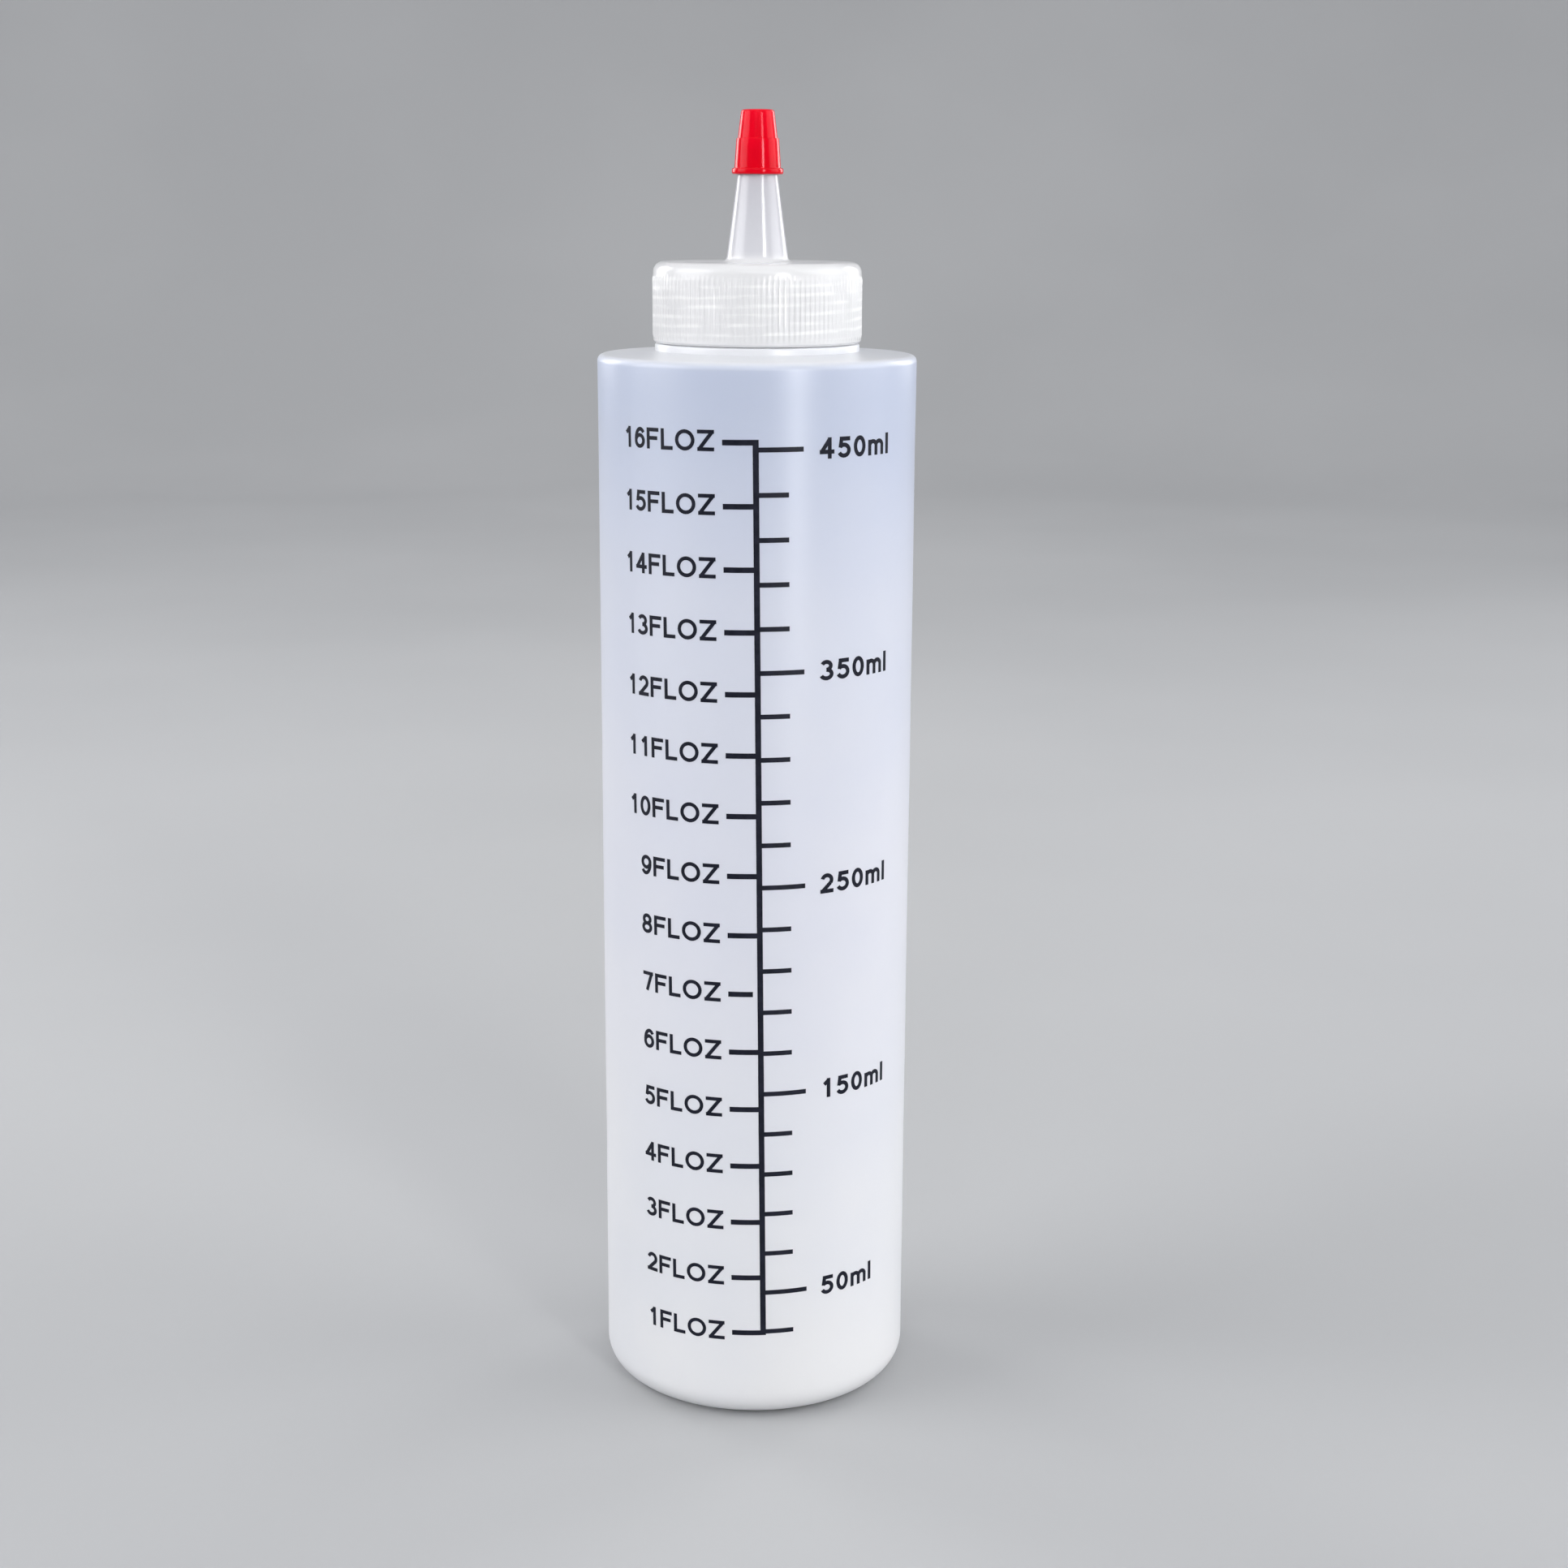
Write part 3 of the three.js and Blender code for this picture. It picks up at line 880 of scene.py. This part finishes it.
# Figures of the scale: width in capital heights, and the middle lines of the strokes
ROUND = [bow(0.5, 0.5, 0.5, 0.5, 0, 360)]
SIX = [bow(0.5, 0.32, 0.5, 0.32, 0, 360), bow(0.57, 0.40, 0.57, 0.60, 180, 42)]
GLYPHS = {
    "0": (0.66, ROUND),
    "1": (0.66, [[(0.66, 0.0), (0.66, 1.0)], [(0.2, 0.74), (0.66, 1.0)]]),
    "2": (0.66, [
        bow(0.5, 0.70, 0.48, 0.30, 165, -38),
        [(0.88, 0.52), (0.02, 0.0)],
        [(0.0, 0.0), (1.0, 0.0)],
    ]),
    "3": (0.66, [
        bow(0.46, 0.76, 0.45, 0.24, 155, -90),
        bow(0.46, 0.26, 0.54, 0.26, 90, -160),
    ]),
    "4": (0.70, [
        [(0.74, 0.0), (0.74, 1.0)],
        [(0.0, 0.28), (1.0, 0.28)],
        [(0.72, 1.0), (0.0, 0.28)],
    ]),
    "5": (0.66, [
        [(0.2, 1.0), (0.94, 1.0)],
        [(0.2, 1.0), (0.08, 0.48)],
        bow(0.46, 0.32, 0.54, 0.32, 138, -155),
    ]),
    "6": (0.66, SIX),
    "7": (0.64, [[(0.0, 1.0), (1.0, 1.0)], [(0.97, 1.0), (0.34, -0.08)]]),
    "8": (0.66, [bow(0.5, 0.76, 0.42, 0.24, 0, 360), bow(0.5, 0.26, 0.5, 0.26, 0, 360)]),
    "9": (0.66, turned_over(SIX)),
    "F": (0.70, [
        [(0.0, 0.0), (0.0, 1.0)],
        [(0.0, 1.0), (1.0, 1.0)],
        [(0.0, 0.52), (0.86, 0.52)],
    ]),
    "L": (0.64, [[(0.0, 0.0), (0.0, 1.0)], [(0.0, 0.0), (1.0, 0.0)]]),
    "O": (0.98, ROUND),
    "Z": (0.80, [
        [(0.0, 1.0), (1.0, 1.0)],
        [(1.0, 1.0), (0.0, 0.0)],
        [(0.0, 0.0), (1.0, 0.0)],
    ]),
    "m": (0.98, [
        [(0.0, 0.0), (0.0, 0.68)],
        bow(0.25, 0.45, 0.25, 0.25, 180, 0),
        [(0.5, 0.0), (0.5, 0.42)],
        bow(0.75, 0.45, 0.25, 0.25, 180, 0),
        [(1.0, 0.0), (1.0, 0.42)],
    ]),
    "l": (0.0, [[(0.0, 0.0), (0.0, 1.0)]]),
}


def stroke_quads(points, thickness):
    """Quads along the middle line of a stroke. An upright or level bar gets square ends."""
    points = [Vector(point) for point in points]
    last = len(points) - 1
    looped = (points[0] - points[last]).length < ON_AXIS
    if last == 1 and min(map(abs, points[1] - points[0])) < ON_AXIS:
        reach = (points[1] - points[0]).normalized() * thickness / 2
        points = [points[0] - reach, points[1] + reach]
    edges = []
    for i, point in enumerate(points):
        before = points[last - 1] if looped and i == 0 else points[max(i - 1, 0)]
        after = points[1] if looped and i == last else points[min(i + 1, last)]
        along = (after - before).normalized()
        side = Vector((-along.y, along.x)) * thickness / 2
        edges.append((point + side, point - side))
    return [(a[1], b[1], b[0], a[0]) for a, b in zip(edges, edges[1:])]


def label_quads(text, style):
    """Quads of a label that starts at zero and stands on zero, and the label's length."""
    stroke = style["stroke"] * CAPITAL_HEIGHT
    gap = style["gap"] * CAPITAL_HEIGHT
    quads, start = [], 0.0
    for figure in text:
        width, strokes = GLYPHS[figure]
        room = max(width * style["stretch"] * CAPITAL_HEIGHT, stroke)
        for points in strokes:
            line = []
            for x, y in points:
                across = start + stroke / 2 + x * (room - stroke)
                line.append((across, stroke / 2 + y * (CAPITAL_HEIGHT - stroke)))
            quads += stroke_quads(line, stroke)
        start += room + gap
    return quads, start - gap


def shifted(quads, across, up):
    return [[corner + Vector((across, up)) for corner in quad] for quad in quads]


def rectangle(left, right, middle, thickness):
    low, high = middle - thickness / 2, middle + thickness / 2
    return [Vector((left, low)), Vector((right, low)), Vector((right, high)), Vector((left, high))]


def cut_lines(low, high, step):
    first = math.ceil(low / step)
    last = math.floor(high / step)
    return [i * step for i in range(first, last + 1)]


def joined_sheet(quads):
    """Overlapping quads as one flat sheet of triangles, cut finely enough for the round wall."""
    points, faces, edges = [], [], []
    for quad in quads:
        area = sum(a.cross(b) for a, b in zip(quad, [*quad[1:], quad[0]]))
        faces.append(range(len(points), len(points) + len(quad)))
        points += quad if area > 0 else quad[::-1]
    low_x, high_x = min(p.x for p in points), max(p.x for p in points)
    low_y, high_y = min(p.y for p in points), max(p.y for p in points)
    lines = [((x, low_y), (x, high_y)) for x in cut_lines(low_x, high_x, WRAP_STEP)]
    lines += [((low_x, y), (high_x, y)) for y in cut_lines(low_y, high_y, PRINT_ROW_STEP)]
    for start, end in lines:
        edges.append((len(points), len(points) + 1))
        points += [Vector(start), Vector(end)]
    sheet = delaunay_2d_cdt(points, edges, faces, HULL_TRIANGLES, SAME_POINT)
    flat, _, triangles, _, _, owners = sheet
    kept = [triangle for triangle, owner in zip(triangles, owners) if owner]
    return flat, kept


def on_wall(across, up, lift):
    """A point of the flat print laid on the wall, a little above or below its surface."""
    rise = up - PRINT_MIDDLE
    turn = (across * math.cos(PRINT_TILT) - rise * math.sin(PRINT_TILT)) * MM / WALL_RADIUS
    height = (PRINT_MIDDLE + across * math.sin(PRINT_TILT) + rise * math.cos(PRINT_TILT)) * MM
    angle = PRINT_ANGLE + turn - math.pi / 2
    radius = WALL_RADIUS - wall_dip(angle, height) + lift
    return (radius * math.cos(angle), radius * math.sin(angle), height)


def printed(name, quads, material):
    """Ink film of the given quads: a thin closed solid, rooted in the wall."""
    flat, triangles = joined_sheet(quads)
    used = sorted({corner for triangle in triangles for corner in triangle})
    place = {corner: i for i, corner in enumerate(used)}
    count = len(used)
    vertices = [on_wall(*flat[corner], INK_TOP) for corner in used]
    vertices += [on_wall(*flat[corner], INK_ROOT) for corner in used]
    faces, borders = [], set()
    for triangle in triangles:
        a, b, c = (place[corner] for corner in triangle)
        faces += [(a, b, c), (c + count, b + count, a + count)]
        for edge in ((a, b), (b, c), (c, a)):
            if edge[::-1] in borders:
                borders.remove(edge[::-1])
            else:
                borders.add(edge)
    faces += [(b, a, a + count, b + count) for a, b in sorted(borders)]
    film = mesh_object(name, vertices, faces)
    dress(film, material, "scale_ink", "bottle")


def ounce_height(ounces):
    return OUNCE_FIRST + (ounces - OUNCES.start) * OUNCE_STEP


def millilitre_height(amount):
    return MILLILITRE_FIRST + (amount - MILLILITRES.start) / MILLILITRES.step * MILLILITRE_STEP


def scale_marks(material):
    """The scale's upright line with the ticks for fluid ounces and millilitres."""
    half = LINE_WIDTH / 2
    foot = ounce_height(OUNCES[0]) - OUNCE_TICK_THICK / 2
    head = ounce_height(OUNCES[-1]) + OUNCE_TICK_THICK / 2
    marks = [rectangle(-half, half, (foot + head) / 2, head - foot)]
    for ounces in OUNCES:
        inner = -half - SHORT_TICK_GAP if ounces == SHORT_TICK_OUNCE else 0.0
        up = ounce_height(ounces)
        marks.append(rectangle(-half - OUNCE_TICK, inner, up, OUNCE_TICK_THICK))
    for amount in MILLILITRES:
        length = MILLILITRE_LONG_TICK if amount in MILLILITRE_LABELS else MILLILITRE_TICK
        up = millilitre_height(amount)
        marks.append(rectangle(0.0, half + length, up, MILLILITRE_TICK_THICK))
    printed("scale_marks", marks, material)


def scale_labels(material):
    for ounces in OUNCES:
        quads, length = label_quads(f"{ounces}FLOZ", OUNCE_STYLE)
        up = ounce_height(ounces) + OUNCE_LABEL_LIFT - CAPITAL_HEIGHT / 2
        quads = shifted(quads, -OUNCE_LABEL_GAP - length, up)
        printed(f"label_{ounces}_fl_oz", quads, material)
    for amount in MILLILITRE_LABELS:
        quads, _ = label_quads(f"{amount}ml", MILLILITRE_STYLE)
        up = millilitre_height(amount) - CAPITAL_HEIGHT / 2
        quads = shifted(quads, MILLILITRE_LABEL_GAP, up)
        printed(f"label_{amount}_ml", quads, material)


def studio():
    """Pale floor that runs up into a round backdrop on all sides."""
    profile = [
        (FLOOR_RADIUS + COVE_RADIUS, COVE_TOP),
        *arc(FLOOR_RADIUS, COVE_RADIUS - FLOOR_DROP, COVE_RADIUS, 0, -90, COVE_STEPS),
        (0.0, -FLOOR_DROP),
    ]
    floor = turned("studio_floor", profile, even_angles(FLOOR_SIDES))
    floor.data.materials.append(studio_paper())


def softbox(name, azimuth, height, distance, size, power, spread=180, aim=LAMP_AIM):
    """Rectangular lamp. Its azimuth is counted from the camera's side, positive to the right, and
    its spread is narrowed as by a grid, both in degrees."""
    lamp = bpy.data.lights.new(name, "AREA")
    lamp.shape = "RECTANGLE"
    lamp.size, lamp.size_y = size
    lamp.energy = power
    lamp.spread = math.radians(spread)
    holder = bpy.data.objects.new(name, lamp)
    turn = math.radians(azimuth)
    holder.location = (distance * math.sin(turn), -distance * math.cos(turn), height)
    holder.rotation_euler = (aim - holder.location).to_track_quat("-Z", "Y").to_euler()
    holder.visible_camera = False
    bpy.context.scene.collection.objects.link(holder)


def lights():
    side = {"height": 0.72, "distance": 1.4, "size": (1.25, 1.3), "spread": 120}
    rim = {"height": 0.5, "distance": 1.3, "size": (0.5, 0.7), "spread": 90}
    strip = {"height": 0.3, "distance": 1.2, "size": (0.2, 0.55), "spread": 40}
    front = {"height": 0.95, "distance": 1.3, "size": (1.1, 0.6)}
    ceiling = {"height": 1.4, "distance": 0.05, "size": (1.0, 1.0)}
    wash = {"height": 1.2, "distance": 1.0, "size": (1.6, 0.4), "aim": BACKDROP_AIM}
    softbox("key_strip", azimuth=28, power=0.42, **strip)
    softbox("fill_left", azimuth=-78, power=9.3, **side)
    softbox("fill_front", azimuth=4, power=4.5, **front)
    softbox("fill_right", azimuth=84, power=6.6, **side)
    softbox("rim_left", azimuth=-132, power=1.6, **rim)
    softbox("rim_right", azimuth=134, power=1.45, **rim)
    softbox("top", azimuth=0, power=1.5, **ceiling)
    softbox("backdrop_wash", azimuth=180, power=9.5, **wash)


def air():
    world = bpy.data.worlds.new("studio_air")
    world.use_nodes = True
    background = world.node_tree.nodes["Background"]
    background.inputs["Color"].default_value = AIR_COLOUR
    background.inputs["Strength"].default_value = AIR_STRENGTH
    bpy.context.scene.world = world


def camera():
    data = bpy.data.cameras.new("photo_camera")
    data.lens = CAMERA_LENS
    holder = bpy.data.objects.new("photo_camera", data)
    forward = Vector((
        math.sin(CAMERA_YAW) * math.cos(CAMERA_PITCH),
        math.cos(CAMERA_YAW) * math.cos(CAMERA_PITCH),
        -math.sin(CAMERA_PITCH),
    ))
    right = Vector((math.cos(CAMERA_YAW), -math.sin(CAMERA_YAW), 0.0))
    up = right.cross(forward)
    rolled_right = right * math.cos(CAMERA_ROLL) + up * math.sin(CAMERA_ROLL)
    rolled_up = up * math.cos(CAMERA_ROLL) - right * math.sin(CAMERA_ROLL)
    axes = Matrix((rolled_right, rolled_up, -forward)).transposed()
    holder.matrix_world = Matrix.Translation(CAMERA_PLACE) @ axes.to_4x4()
    bpy.context.scene.collection.objects.link(holder)
    bpy.context.scene.camera = holder


def build():
    bpy.context.scene.view_settings.view_transform = "Standard"
    milky = body_plastic()
    natural = cap_plastic()
    ink = scale_ink()
    bottle_shell(milky)
    pinch_off_seam(milky)
    neck_thread(milky)
    scale_marks(ink)
    scale_labels(ink)
    spout_cap_shell(natural)
    cap_thread(natural)
    sealing_ring(gasket_foam())
    tip_sealer(tip_plastic())
    studio()
    lights()
    air()
    camera()


build()
